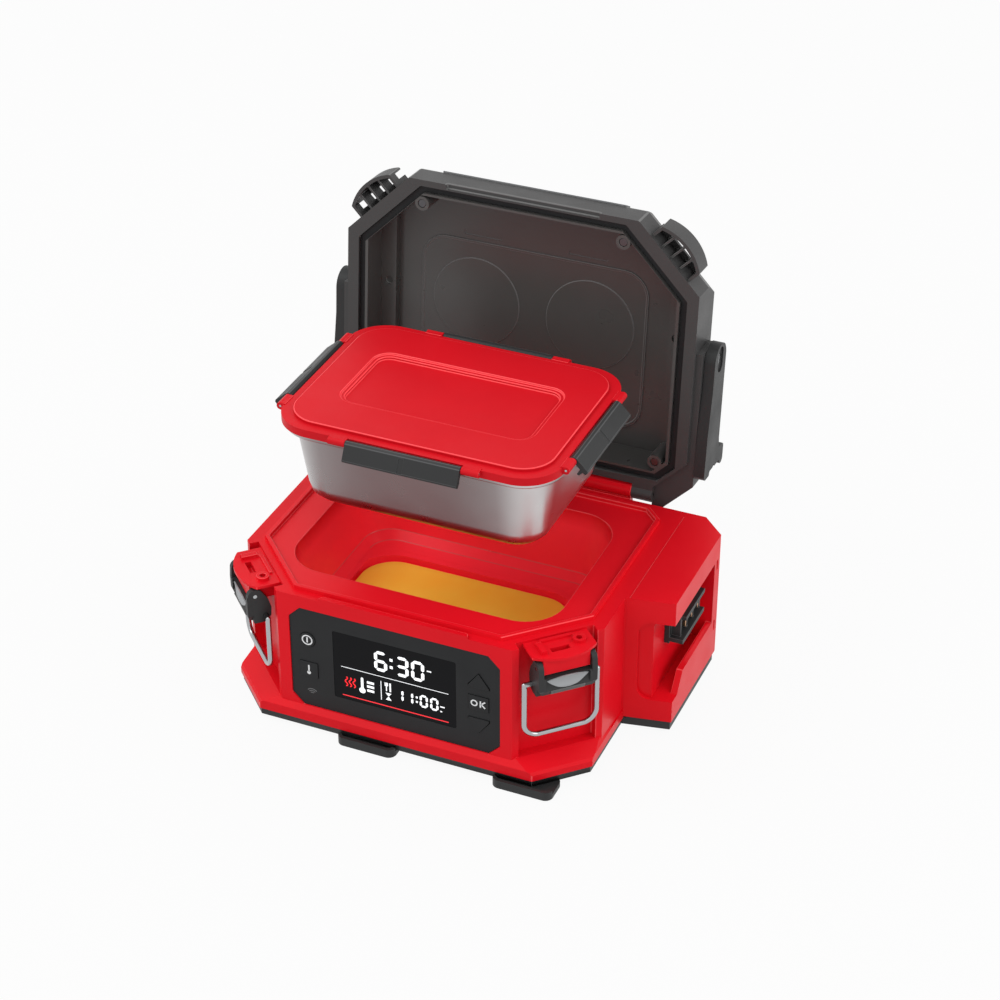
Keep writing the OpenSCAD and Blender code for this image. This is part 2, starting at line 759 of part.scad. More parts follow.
module lid_liner() {
  color(grey) opened() difference() {
    union() {
      liner_body(0, face_z, face_z + 7);
      ridge_prism(-1, gasket_high + 0.1, face_z + 7);
      translate([0, 0, face_z + 6]) linear_extrude(cavity_top + 1.2 - face_z - 6) liner_cavity(2);
    }
    difference() {
      union() {
        translate([0, 0, face_z - 1]) linear_extrude(ledge_z - face_z + 1) liner_cavity(0);
        translate([0, 0, ledge_z - 1]) linear_extrude(cavity_top - ledge_z + 1) intersection() {
          liner_cavity(0);
          square([2 * ledge_half_w, 300], center = true);
        }
      }
      for (p = boss_places) translate([p[0], p[1], face_z]) cylinder(r = 5.5, h = lid_h - 4);
      // Raised table in the middle, with two round pads on it
      translate([0, 13, cavity_top - 0.9]) linear_extrude(1) rounded(91, 64, 20);
    }
    translate([0, 13, cavity_top - 1]) linear_extrude(0.8) difference() {
      rounded(89, 62, 18);
      for (s = [-1, 1]) translate([s * 46, -15]) circle(35);
    }
    for (s = [-1, 1]) {
      translate([s * 42, -56.5, cavity_top - 0.9]) linear_extrude(1.6) rounded(15.5, 1.8, 1.5);
      translate([s * 116, -8, ledge_z - 1]) cylinder(r = 3.4, h = 3);
    }
    for (p = boss_places) translate([p[0], p[1], face_z - 1]) cylinder(r = 3.3, h = 3);
    for (p = boss_places) translate([p[0], p[1], face_z - 1]) cylinder(r = 1.55, h = lid_h);
  }
}

module lid_insulation() {
  color("beige") opened() difference() {
    ridge_prism(-0.8, face_z + 7.2, lid_waist - 0.4);
    translate([0, 0, face_z]) linear_extrude(40) liner_cavity(2.2);
  }
}

module lid_gasket() {
  color([0.05, 0.05, 0.055]) opened() difference() {
    ridge_prism(-1.1, gasket_low, gasket_high);
    liner_body(0.1, gasket_low - 1, gasket_low + 3);
  }
}

module liner_screws() {
  color(steel) opened() for (p = boss_places) translate([p[0], p[1], face_z + 0.4]) {
    cylinder(r = 3, h = 1.6);
    cylinder(r = 1.5, h = 18);
  }
}

module lid_edge_strip() {
  color(grey) opened() along_x(-72, 72) polygon([
    [lid_front, lid_waist], [lid_front - 1.2, lid_waist + 0.6],
    [lid_front + lid_taper - 1.4, lid_shoulder], [lid_front + lid_taper, lid_shoulder]
  ]);
}

// Curved catch with three ribs; the bail's bar drops into the channel across the ribs
module catch_lug(side) {
  base_u = (lid_half_w - lid_front - chamfer_leg - half_w - half_d + chamfer_leg) / sqrt(2);
  low = face_z + 2;
  high = 137.2;
  seat = bail_z + bail_reach - bail_r - 0.35;
  color(black) opened() at_latch(side) difference() {
    union() {
      difference() {
        intersection() {
          translate([-24.5, 0, low]) cylinder(r = 40, h = high - low, $fn = 120);
          block([base_u, -21.5, low], [30, 21.5, high]);
        }
        intersection() {
          translate([-24.5, 0, low - 1]) cylinder(r = 37.4, h = high - low - 1.6, $fn = 120);
          block([base_u - 1, -19.4, low - 2], [30, 19.4, high]);
        }
      }
      intersection() {
        translate([-24.5, 0, low]) cylinder(r = 38.5, h = high - low - 1, $fn = 120);
        for (t = [-10.8, -0.8, 9.2]) block([base_u, t, low + 1.2], [30, t + 1.6, high - 1]);
      }
    }
    block([bail_u - bail_r - 0.5, -17, seat], [bail_u + bail_r + 0.5, 17, high + 1]);
    for (s = [-1, 1]) translate([0, s * 19.5, 0])
      block([bail_u - bail_r - 0.5, -3, seat - 5], [bail_u + bail_r + 0.5, 3, high + 1]);
  }
}

module handle_pivots() {
  color(steel) opened() for (s = [-1, 1]) {
    translate([s * (lid_half_w - 4), handle_y, handle_z]) rotate([0, s * 90, 0])
      cylinder(r = handle_pin_r, h = arm_out - lid_half_w + 2.4);
  }
}

// Side profile of a handle arm in the Y-Z plane
module arm_profile() {
  translate([handle_y, handle_z]) circle(arm_r);
  polygon([
    [handle_y, handle_z + arm_r], [handle_y, handle_z - arm_r], [20, handle_z - arm_r], [56, arm_low + 0.8],
    [arm_end_y - 2, arm_low], [arm_end_y, arm_low + 2.5], [arm_end_y, arm_low + 11.5], [arm_end_y - 3.5, arm_low + 12.5],
    [arm_end_y - 3.5, arm_low + 20], [arm_end_y - 6, arm_low + 21.5], [arm_end_y - 3, arm_low + 23.5],
    [arm_end_y - 3, bar_z], [bar_y - bar_spread - bar_r, bar_z], [bar_y - bar_spread - bar_r, lid_top - 1],
    [70, handle_z + arm_r]
  ]);
}

module bar_section(extra) {
  for (y = [-bar_spread, bar_spread]) translate([bar_y + y, bar_z]) circle(bar_r + extra);
  translate([bar_y, bar_z]) square([2 * bar_spread, 2 * (bar_r + extra)], center = true);
}

module carry_handle() {
  color(black) opened() difference() {
    union() {
      for (x0 = [-arm_out, arm_in]) along_x(x0, x0 + arm_out - arm_in) arm_profile();
      along_x(-arm_out, -grip_half) bar_section(0);
      along_x(grip_half, arm_out) bar_section(0);
      along_x(-grip_half, grip_half) bar_section(-1.5);
    }
    for (s = [-1, 1]) {
      translate([s * arm_out, handle_y, handle_z]) rod_x(handle_pin_r + fit_gap, 30);
      translate([s * arm_out, handle_y, handle_z]) rotate([0, 90, 0])
        linear_extrude(3, center = true) rounded(5.5, 10, 5.4);
    }
  }
}

module handle_grip() {
  color(grey) opened() difference() {
    along_x(-grip_half, grip_half) bar_section(1);
    along_x(-grip_half - 1, grip_half + 1) bar_section(-1.5);
  }
}

// Level outlines of the pan from rim to bottom, moved inwards by o
module pan_hull(o, low, top) {
  fillet = 14;
  top_x = 98.5 - o;
  top_y = 70.5 - o;
  low_x = 92 - o;
  low_y = 64.5 - o;
  hull() {
    slab(top_x, top_y, 26 - o, top - 0.2, top);
    slab(low_x, low_y, 23 - o, low + fillet, low + fillet + 0.2);
    slab(low_x - fillet * 0.13, low_y - fillet * 0.13, 22 - o,
      low + fillet * 0.5, low + fillet * 0.5 + 0.1);
    slab(low_x - fillet * 0.5, low_y - fillet * 0.5, 18 - o,
      low + fillet * 0.13, low + fillet * 0.13 + 0.1);
    slab(low_x - fillet, low_y - fillet, 12 - o, low, low + 0.1);
  }
}

module food_pan() {
  color(steel) lifted() difference() {
    union() {
      pan_hull(0, pan_low, rim_centre_z + 1);
      slab(70, 31, 16, pan_foot_z, pan_low + 1);
      translate([0, 0, rim_centre_z]) bead(103, 75, 28, rim_r);
      slab(103, 75, 28, rim_centre_z + 0.6, rim_centre_z + rim_r);
    }
    pan_hull(pan_wall, pan_low + pan_wall, rim_centre_z + rim_r + 1);
    slab(69, 30, 15, pan_foot_z + pan_wall, pan_low + 5);
  }
}

module food_lid_seal() {
  color(black) lifted() difference() {
    slab(104, 76, 29, rim_centre_z + rim_r, flange_low);
    slab(96, 68, 24, rim_centre_z, flange_low + 1);
  }
}

module knuckle(len) {
  rod_x(2.8, len);
  translate([-len / 2, 0, -2.8]) cube([len, 4, 5.4]);
}

// Turns front-edge geometry to the front, back, left or right edge
module at_edge(edge) {
  if (edge == "front") translate([0, -food_d / 2 - pivot_out, pivot_z]) children();
  if (edge == "back") translate([0, food_d / 2 + pivot_out, pivot_z]) rotate([0, 0, 180]) children();
  if (edge == "left") translate([-food_w / 2 - pivot_out, 0, pivot_z]) rotate([0, 0, -90]) children();
  if (edge == "right") translate([food_w / 2 + pivot_out, 0, pivot_z]) rotate([0, 0, 90]) children();
}
edges = ["front", "back", "left", "right"];
function clip_half(edge) = (edge == "front" || edge == "back") ? front_clip_half : side_clip_half;

module food_lid() {
  color(red) lifted() difference() {
    union() {
      slab(food_w / 2, food_d / 2, flange_r, flange_low, flange_high);
      slab(food_w / 2 - 8, food_d / 2 - 8, flange_r - 6, flange_high - 1, food_top);
      slab(95, 67, 23, flange_low - 3, flange_low + 1);
      for (e = edges) at_edge(e) for (s = [-1, 1]) translate([s * (clip_half(e) + 7), 0, 0]) knuckle(13);
    }
    slab(92.5, 64.5, 21, flange_low - 4, flange_low + 3);
    slab(74, 37.5, 13, food_top - 1.4, food_top + 1);
    slab(71, 34.5, 10, food_top - 3.6, food_top + 1);
    for (e = edges) at_edge(e) {
      translate([-clip_half(e) - 0.4, -5, -9]) cube([2 * clip_half(e) + 0.8, 8.4, 18]);
      rod_x(clip_pin_r + fit_gap, 2 * clip_half(e) + 30);
    }
  }
}

module clip_pins() {
  color(steel) lifted() for (e = edges) at_edge(e) rod_x(clip_pin_r, 2 * clip_half(e) + 27);
}

// Snap clip: barrel on the pin, outer plate, and a hook that goes under the pan's rim
module clip(edge, angle) {
  half = clip_half(edge);
  color(black) lifted() at_edge(edge) rotate([-angle, 0, 0]) difference() {
    union() {
      rod_x(clip_barrel_r, 2 * half);
      along_x(-half, half) polygon([
        [0, 2.6], [-2.4, 2.2], [-3.4, 0], [-3.4, -11.5], [-2.4, -12.8], [0, -12.8], [0.4, -11.2], [0.4, 0]
      ]);
      for (x = [-half + 2, half - 14]) along_x(x, x + 12)
        polygon([[-1, -11.1], [5.8, -11], [6.6, -9.6], [6.4, -9.1], [-1, -9.1]]);
    }
    rod_x(clip_pin_r + fit_gap, 200);
    block([-2, -4.5, -1], [2, -3, -14]);
  }
}

housing_shell();
bay_liner();
heating_plate();
heater_element();
plate_insulation();
temperature_probe();
thermal_cutout();
bottom_tray();
front_cleats();
rear_feet();
housing_screws();
panel_frame();
display_window();
display_module();
control_board();
power_board();
button_pads();
button("power");  // power_button
button("temperature");  // temperature_button
button("up");  // up_button
button("ok");  // ok_button
button("down");  // down_button
terminal_block();
terminal_blades();
battery_wires();
latch_bracket(-1);  // latch_bracket_left
latch_bracket(1);  // latch_bracket_right
lever_pin(-1);  // lever_pin_left
lever_pin(1);  // lever_pin_right
latch_lever(-1);  // latch_lever_left
latch_lever(1);  // latch_lever_right
lever_grip(-1);  // lever_grip_left
lever_grip(1);  // lever_grip_right
latch_bail(-1);  // latch_bail_left
latch_bail(1);  // latch_bail_right
hinge_mount();
hinge_pin();
lid_shell();
lid_liner();
lid_insulation();
lid_gasket();
liner_screws();
lid_edge_strip();
catch_lug(-1);  // catch_left
catch_lug(1);  // catch_right
handle_pivots();
carry_handle();
handle_grip();
food_pan();
food_lid();
food_lid_seal();
clip_pins();
clip("front", front_clip_angle);  // clip_front
clip("back", back_clip_angle);  // clip_back
clip("left", left_clip_angle);  // clip_left
clip("right", right_clip_angle);  // clip_right
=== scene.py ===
# %% [markdown]
# # An electric lunch box, dressed for its portrait
# The measured model gives every hard part its size and place. This lesson softens the
# moulded edges, gives each part a finish, draws the display, and lights the whole thing.

# %% Load the measured model
import json
import math
import bmesh
import bpy
from mathutils import Matrix, Vector


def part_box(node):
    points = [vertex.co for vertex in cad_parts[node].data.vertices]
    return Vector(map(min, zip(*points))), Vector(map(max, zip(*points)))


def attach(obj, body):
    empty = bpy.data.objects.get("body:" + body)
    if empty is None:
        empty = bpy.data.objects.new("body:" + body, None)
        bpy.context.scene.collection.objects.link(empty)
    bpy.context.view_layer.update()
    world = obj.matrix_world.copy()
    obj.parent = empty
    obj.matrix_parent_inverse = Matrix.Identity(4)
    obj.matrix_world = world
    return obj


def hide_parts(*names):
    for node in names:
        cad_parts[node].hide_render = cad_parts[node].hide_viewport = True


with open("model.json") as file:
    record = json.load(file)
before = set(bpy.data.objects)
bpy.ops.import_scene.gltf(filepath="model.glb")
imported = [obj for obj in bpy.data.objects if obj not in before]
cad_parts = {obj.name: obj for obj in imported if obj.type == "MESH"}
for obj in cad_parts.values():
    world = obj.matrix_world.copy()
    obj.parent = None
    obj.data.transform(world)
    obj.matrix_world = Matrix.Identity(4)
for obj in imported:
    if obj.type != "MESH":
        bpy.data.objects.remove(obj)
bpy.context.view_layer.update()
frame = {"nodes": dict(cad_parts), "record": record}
MM = 0.001
body_of_node = {}
for body_name, node_names in frame["record"]["behaviour"]["bodies"].items():
    for node_name in node_names:
        body_of_node[node_name] = body_name

# %% [markdown]
# ## The camera
# The photograph was taken from the front right with a long lens, about 1.9 metres away and
# looking down 33 degrees. Its place was worked out from the box's own corners, so the render
# and the photograph can be laid over each other.

# %% Place the camera
camera_data = bpy.data.cameras.new("portrait_camera")
camera_data.lens = 90.65
camera_data.sensor_width = 36
camera = bpy.data.objects.new("portrait_camera", camera_data)
camera.location = (0.6327, -1.3868, 1.1431)
camera.rotation_euler = (math.radians(57.02), 0, math.radians(23.25))
bpy.context.scene.collection.objects.link(camera)
bpy.context.scene.camera = camera
bpy.context.scene.view_settings.view_transform = "Standard"
print("camera distance in metres:", round(camera.location.length, 3))

# %% [markdown]
# ## Node helpers
# Every finish here is a small network of nodes: noise for grain, a ramp to tame it, and a
# bump so that light catches it. Three helpers keep those networks short to write.

# %% Small helpers for materials
def node(tree, kind, **values):
    """Adds a node and sets its properties or its inputs by name."""
    made = tree.nodes.new(kind)
    for name, value in values.items():
        if name in made.inputs:
            made.inputs[name].default_value = value
        else:
            setattr(made, name, value)
    return made


def start_finish(name, colour, roughness, metallic=0.0, specular=0.5):
    """A new material with its shader's constant values set directly on the sockets."""
    finish = bpy.data.materials.new(name)
    finish.use_nodes = True
    shader = finish.node_tree.nodes["Principled BSDF"]
    shader.inputs["Base Color"].default_value = (*colour, 1)
    shader.inputs["Roughness"].default_value = roughness
    shader.inputs["Metallic"].default_value = metallic
    shader.inputs["Specular IOR Level"].default_value = specular
    return finish, finish.node_tree, shader


def grain(tree, shader, size_mm, strength, stretch=(1, 1, 1)):
    """Fine bumps: noise cells of size_mm, stretched along an axis if asked."""
    place = node(tree, "ShaderNodeTexCoord")
    scale = node(tree, "ShaderNodeMapping")
    scale.inputs["Scale"].default_value = stretch
    noise = node(tree, "ShaderNodeTexNoise", Scale=1000.0 / size_mm, Detail=3.0)
    bump = node(tree, "ShaderNodeBump", Strength=strength, Distance=0.0003)
    tree.links.new(place.outputs["Object"], scale.inputs["Vector"])
    tree.links.new(scale.outputs["Vector"], noise.inputs["Vector"])
    tree.links.new(noise.outputs["Fac"], bump.inputs["Height"])
    tree.links.new(bump.outputs["Normal"], shader.inputs["Normal"])
    return scale


def cloudy(tree, shader, socket, low, high, size_mm):
    """Lets a value or a colour drift between low and high over patches of size_mm."""
    place = node(tree, "ShaderNodeTexCoord")
    noise = node(tree, "ShaderNodeTexNoise", Scale=1000.0 / size_mm, Detail=4.0)
    ramp = node(tree, "ShaderNodeValToRGB")
    ramp.color_ramp.elements[0].position = 0.3
    ramp.color_ramp.elements[1].position = 0.7
    ramp.color_ramp.elements[0].color = (*low, 1)
    ramp.color_ramp.elements[1].color = (*high, 1)
    tree.links.new(place.outputs["Object"], noise.inputs["Vector"])
    tree.links.new(noise.outputs["Fac"], ramp.inputs["Fac"])
    tree.links.new(ramp.outputs["Color"], shader.inputs[socket])


# %% [markdown]
# ## Moulded plastics
# The body is one saturated red, moulded with a fine satin grain. The lid, latches and clips
# are black with a coarser grain, and the lid's liner is smoother and a little glossier.
# Roughness drifts slightly over the surface, because no moulding is perfectly even. Paler
# copies for the rounded edges are painted highlights, and the bay's lighter red is painted light.

# %% Plastic finishes
def plastic(name, colour, roughness, grain_mm, grain_strength, specular=0.3):
    finish, tree, shader = start_finish(name, colour, roughness, specular=specular)
    darker = tuple(c * 0.93 for c in colour)
    cloudy(tree, shader, "Base Color", darker, colour, 60)
    rough_low = (roughness * 0.9,) * 3
    rough_high = (roughness * 1.12,) * 3
    cloudy(tree, shader, "Roughness", rough_low, rough_high, 25)
    grain(tree, shader, grain_mm, grain_strength)
    return finish


red_moulding = plastic("red_moulding", (0.68, 0.0045, 0.012), 0.34, 0.5, 0.10, 0.12)
red_lid_moulding = plastic("red_lid_moulding", (0.55, 0.0045, 0.011), 0.42, 0.7, 0.16, 0.12)
black_moulding = plastic("black_moulding", (0.024, 0.0245, 0.025), 0.46, 0.6, 0.30, 0.26)
lid_moulding = plastic("lid_moulding", (0.050, 0.049, 0.049), 0.42, 0.6, 0.30, 0.26)
liner_moulding = plastic("liner_moulding", (0.060, 0.058, 0.056), 0.30, 1.2, 0.08, 0.4)
panel_moulding = plastic("panel_moulding", (0.014, 0.0145, 0.0155), 0.50, 0.5, 0.22, 0.2)
strip_moulding = plastic("strip_moulding", (0.12, 0.122, 0.125), 0.45, 0.6, 0.2)
seal_rubber = plastic("seal_rubber", (0.012, 0.012, 0.013), 0.62, 0.9, 0.2)
grip_rubber = plastic("grip_rubber", (0.30, 0.31, 0.32), 0.42, 0.5, 0.2)
felt = plastic("felt", (0.62, 0.60, 0.52), 0.9, 1.5, 0.8)
lead_rubber = plastic("lead_rubber", (0.35, 0.01, 0.01), 0.45, 1.0, 0.1)


# Paler copies of the red and black finishes for the rounded edge strips: painted highlights.
red_painted_highlight = plastic("red_painted_highlight", (0.86, 0.060, 0.070), 0.30, 0.5, 0.05, 0.30)
lid_painted_highlight = plastic("lid_painted_highlight", (0.125, 0.124, 0.123), 0.36, 0.6, 0.12, 0.30)
black_painted_highlight = plastic("black_painted_highlight", (0.070, 0.071, 0.073), 0.38, 0.6, 0.12, 0.26)


def paint_light_below(finish, upper, lower, level_mm, depth_mm):
    """Painted light: lets the colour change from upper to lower over depth_mm below a height of level_mm."""
    tree = finish.node_tree
    place = node(tree, "ShaderNodeNewGeometry")
    split = node(tree, "ShaderNodeSeparateXYZ")
    height = node(tree, "ShaderNodeMapRange")
    height.inputs["From Min"].default_value = level_mm * MM
    height.inputs["From Max"].default_value = (level_mm - depth_mm) * MM
    ramp = node(tree, "ShaderNodeValToRGB")
    ramp.color_ramp.elements[0].color = (*upper, 1)
    ramp.color_ramp.elements[1].color = (*lower, 1)
    tree.links.new(place.outputs["Position"], split.inputs["Vector"])
    tree.links.new(split.outputs["Z"], height.inputs["Value"])
    tree.links.new(height.outputs["Result"], ramp.inputs["Fac"])
    tree.links.new(ramp.outputs["Color"], tree.nodes["Principled BSDF"].inputs["Base Color"])


# The bay's walls lie in the shade of the hanging container. Their red is a brighter copy of the body's red and
# grows lighter still below the deck: painted light against that shade.
bay_red_painted_light = plastic("bay_red_painted_light", (0.72, 0.005, 0.013), 0.36, 0.5, 0.08, 0.18)
paint_light_below(bay_red_painted_light, (0.72, 0.005, 0.013), (1.0, 0.03, 0.05), 116, 12)
print("plastic finishes made:", len([m for m in bpy.data.materials if m.use_nodes]))

# %% [markdown]
# ## Metals
# The food pan is brushed stainless steel: its grain runs round the pan, so the noise is
# stretched level and squeezed upright. Its colour carries painted reflections, soft bands across
# its width with a reddish middle for the red body it faces. The latch wires are plated and
# smoother. The heating plate carries a thin amber coat over metal.

# %% Metal finishes
def brushed(name, colour, roughness, squeeze, strength):
    finish, tree, shader = start_finish(name, colour, roughness, metallic=1.0)
    rough_low = (roughness * 0.85,) * 3
    rough_high = (roughness * 1.2,) * 3
    cloudy(tree, shader, "Roughness", rough_low, rough_high, 30)
    grain(tree, shader, 2.0, strength, squeeze)
    return finish


def painted_reflection_bands(finish, reach_mm, tones):
    """Painted reflections: soft lighter and darker bands across the width, fixed in the colour."""
    tree = finish.node_tree
    place = node(tree, "ShaderNodeNewGeometry")
    split = node(tree, "ShaderNodeSeparateXYZ")
    across = node(tree, "ShaderNodeMapRange")
    across.inputs["From Min"].default_value = -reach_mm * MM
    across.inputs["From Max"].default_value = reach_mm * MM
    ramp = node(tree, "ShaderNodeValToRGB")
    ramp.color_ramp.interpolation = "B_SPLINE"
    for number, (position, colour) in enumerate(tones):
        stop = ramp.color_ramp.elements[number] if number < 2 else ramp.color_ramp.elements.new(1.0)
        stop.position = position
        stop.color = (*colour, 1)
    tree.links.new(place.outputs["Position"], split.inputs["Vector"])
    tree.links.new(split.outputs["X"], across.inputs["Value"])
    tree.links.new(across.outputs["Result"], ramp.inputs["Fac"])
    tree.links.new(ramp.outputs["Color"], tree.nodes["Principled BSDF"].inputs["Base Color"])


# The pan's pinkish grey steel colour is a painted reflection of the red body; the painted bands link over it.
pan_steel_painted_reflections = brushed("pan_steel_painted_reflections", (0.34, 0.245, 0.245), 0.30, (0.1, 0.1, 2.5), 0.04)
# Tones of the painted reflection bands: a dark band, a reddish middle for the red body reflected, and a bright
# painted highlight.
dark_reflection, red_reflection, bright = (0.18, 0.150, 0.150), (0.21, 0.135, 0.135), (0.80, 0.79, 0.79)
painted_reflection_bands(pan_steel_painted_reflections, 104, [(0.0, bright), (0.16, dark_reflection), (0.5, red_reflection), (0.8, dark_reflection), (0.93, bright), (1.0, dark_reflection)])
wire_steel = brushed("wire_steel", (0.42, 0.43, 0.44), 0.20, (1, 1, 1), 0.03)
screw_steel = brushed("screw_steel", (0.50, 0.50, 0.52), 0.30, (1, 1, 1), 0.08)
dark_steel = brushed("dark_steel", (0.10, 0.10, 0.105), 0.36, (1, 1, 1), 0.08)
copper = brushed("copper", (0.80, 0.45, 0.25), 0.32, (1, 1, 1), 0.08)


def coated_plate():
    finish, tree, shader = start_finish("amber_coat", (1.0, 0.60, 0.06), 0.36)
    cloudy(tree, shader, "Base Color", (1.0, 0.52, 0.04), (1.0, 0.62, 0.065), 45)
    grain(tree, shader, 0.8, 0.12)
    return finish


amber_coat = coated_plate()
print("metal finishes made:", pan_steel_painted_reflections.name, wire_steel.name, amber_coat.name)

# %% [markdown]
# ## Glass-smooth window, display light and circuit boards
# The display window is black and glossy. Its signs give off a little light of their own, so
# they stay readable. Circuit boards get a faint pattern of tracks from a brick texture.

# %% Window, display and board finishes
def glossy_black():
    finish, tree, shader = start_finish("window_black", (0.005, 0.005, 0.006), 0.10, specular=0.08)
    cloudy(tree, shader, "Roughness", (0.07,) * 3, (0.12,) * 3, 30)
    grain(tree, shader, 6.0, 0.01)
    return finish


def lit_sign(name, colour, strength):
    finish, tree, shader = start_finish(name, colour, 0.4)
    shader.inputs["Emission Strength"].default_value = strength
    dimmer = tuple(c * 0.9 for c in colour)
    cloudy(tree, shader, "Emission Color", dimmer, colour, 3)
    return finish


def circuit_board():
    finish, tree, shader = start_finish("circuit_board", (0.02, 0.14, 0.06), 0.35)
    place = node(tree, "ShaderNodeTexCoord")
    bricks = node(tree, "ShaderNodeTexBrick", Scale=120.0)
    bricks.inputs["Color1"].default_value = (0.015, 0.12, 0.05, 1)
    bricks.inputs["Color2"].default_value = (0.02, 0.17, 0.07, 1)
    bricks.inputs["Mortar"].default_value = (0.05, 0.26, 0.10, 1)
    tree.links.new(place.outputs["Object"], bricks.inputs["Vector"])
    tree.links.new(bricks.outputs["Color"], shader.inputs["Base Color"])
    return finish


window_black = glossy_black()
white_sign = lit_sign("white_sign", (0.90, 0.92, 0.94), 0.55)
red_sign = lit_sign("red_sign", (0.80, 0.02, 0.03), 0.6)
printed_white = plastic("printed_white", (0.72, 0.73, 0.74), 0.5, 0.4, 0.05)
board_finish = circuit_board()
print("sign finishes:", white_sign.name, red_sign.name, printed_white.name)

# %% [markdown]
# ## Room for a rounded edge
# A real moulding has no knife edges, but a rounding wider than the step beside it would fold
# the mesh over itself. Before rounding, each sharp edge is given the width that its two faces
# have room for: a little under half the way to the next edge across each face.

# %% Measure the room beside each sharp edge
def gap_between(a0, a1, b0, b1):
    """Shortest way between two straight edges that lie in one flat face."""
    closest = []
    for point, start, end in ((a0, b0, b1), (a1, b0, b1), (b0, a0, a1), (b1, a0, a1)):
        run = end - start
        reach = run.length_squared
        share = min(1.0, max(0.0, (point - start).dot(run) / reach)) if reach else 0.0
        closest.append((point - (start + run * share)).length)
    return min(closest)


def room_in_face(face, sharp, wanted):
    """Width that each sharp edge of one face may be rounded by, up to the wanted width."""
    loops = list(face.loops)
    count = len(loops)
    ends = [(loop.vert.co, loop.link_loop_next.vert.co) for loop in loops]
    ways = [(end - start).normalized() for start, end in ends]
    is_sharp = [loop.edge in sharp for loop in loops]
    turns = [ways[i - 1].dot(ways[i]) for i in range(count)]
    chain = [0] * count
    for i in range(1, count):
        joined = turns[i] > 0.7 and is_sharp[i] == is_sharp[i - 1]
        chain[i] = chain[i - 1] if joined else chain[i - 1] + 1
    if turns[0] > 0.7 and is_sharp[0] == is_sharp[-1]:
        last = chain[-1]
        chain = [0 if link == last else link for link in chain]
    room = {}
    for i in range(count):
        if not is_sharp[i]:
            continue
        width = wanted
        low = [min(a, b) - 2.3 * wanted for a, b in zip(*ends[i])]
        high = [max(a, b) + 2.3 * wanted for a, b in zip(*ends[i])]
        for j in range(count):
            if j == i or (chain[i] == chain[j] and ways[i].dot(ways[j]) > -0.5):
                continue
            start, end = ends[j]
            if any(max(start[k], end[k]) < low[k] or min(start[k], end[k]) > high[k] for k in range(3)):
                continue
            if j in ((i + 1) % count, (i - 1) % count):
                width = min(width, 0.9 * (end - start).length)
            elif is_sharp[j] or loops[j].edge.calc_face_angle(0) > math.radians(1):
                part = 0.45 if is_sharp[j] else 0.9
                width = min(width, part * gap_between(*ends[i], start, end))
        room[loops[i].edge] = width
    return room


# %% [markdown]
# ## Whole faces, and a check for folds
# The measured parts come as triangles. Merging flat neighbours gives back whole faces, which
# is what a bevel needs. A face whose triangles cover more than the face itself laps over
# itself, so comparing the two areas finds every fold.

# %% Merge the triangles and look for folds
def merged_faces(source):
    """The part's surface with its flat triangles merged back into whole faces."""
    shape = bmesh.new()
    shape.from_mesh(source.data)
    shape.edges.layers.float.new("bevel_weight_edge")
    shape.faces.layers.int.new("origin")
    bmesh.ops.remove_doubles(shape, verts=shape.verts, dist=2e-6)
    bmesh.ops.dissolve_limit(shape, angle_limit=math.radians(0.6), verts=shape.verts, edges=shape.edges)
    bmesh.ops.recalc_face_normals(shape, faces=shape.faces)
    covered = {}
    for corner in shape.calc_loop_triangles():
        a, b, c = (loop.vert.co for loop in corner)
        face = corner[0].face
        covered[face] = covered.get(face, 0.0) + (b - a).cross(c - a).length / 2
    folded = [face for face, area in covered.items() if area > face.calc_area() * 1.001 + 1e-9]
    if folded:
        bmesh.ops.triangulate(shape, faces=folded)
    return shape


def folds(piece, straight):
    """Numbers of the whole faces whose rounded copy laps over itself or turns inside out."""
    view = piece.evaluated_get(bpy.context.evaluated_depsgraph_get())
    mesh = view.to_mesh()
    mesh.calc_loop_triangles()
    covered = [0.0] * len(mesh.polygons)
    for corner in mesh.loop_triangles:
        covered[corner.polygon_index] += corner.area
    origin = mesh.attributes["origin"].data
    found = set()
    for i, polygon in enumerate(mesh.polygons):
        number = origin[i].value
        if covered[i] > polygon.area * 1.02 + 1e-8 or polygon.normal.dot(straight[number]) < -0.6:
            found.add(number)
    view.to_mesh_clear()
    return found


# %% [markdown]
# ## Softened copies of the measured parts
# Each measured part is copied and a small bevel rounds every sharp edge by the width it has
# room for. Where the bevel still folds a face, that face's edges get half the width, up to five
# times, and after that no rounding at all; at most eight rounds are tried. Weighted normals keep
# the flat faces flat in the highlights.

# %% A helper that softens a part
# Each moulding's paler copy, a painted highlight for its rounded edges.
painted_highlight_of = {red_moulding: red_painted_highlight, red_lid_moulding: red_painted_highlight, bay_red_painted_light: red_painted_highlight,
           lid_moulding: lid_painted_highlight, liner_moulding: lid_painted_highlight, black_moulding: black_painted_highlight}


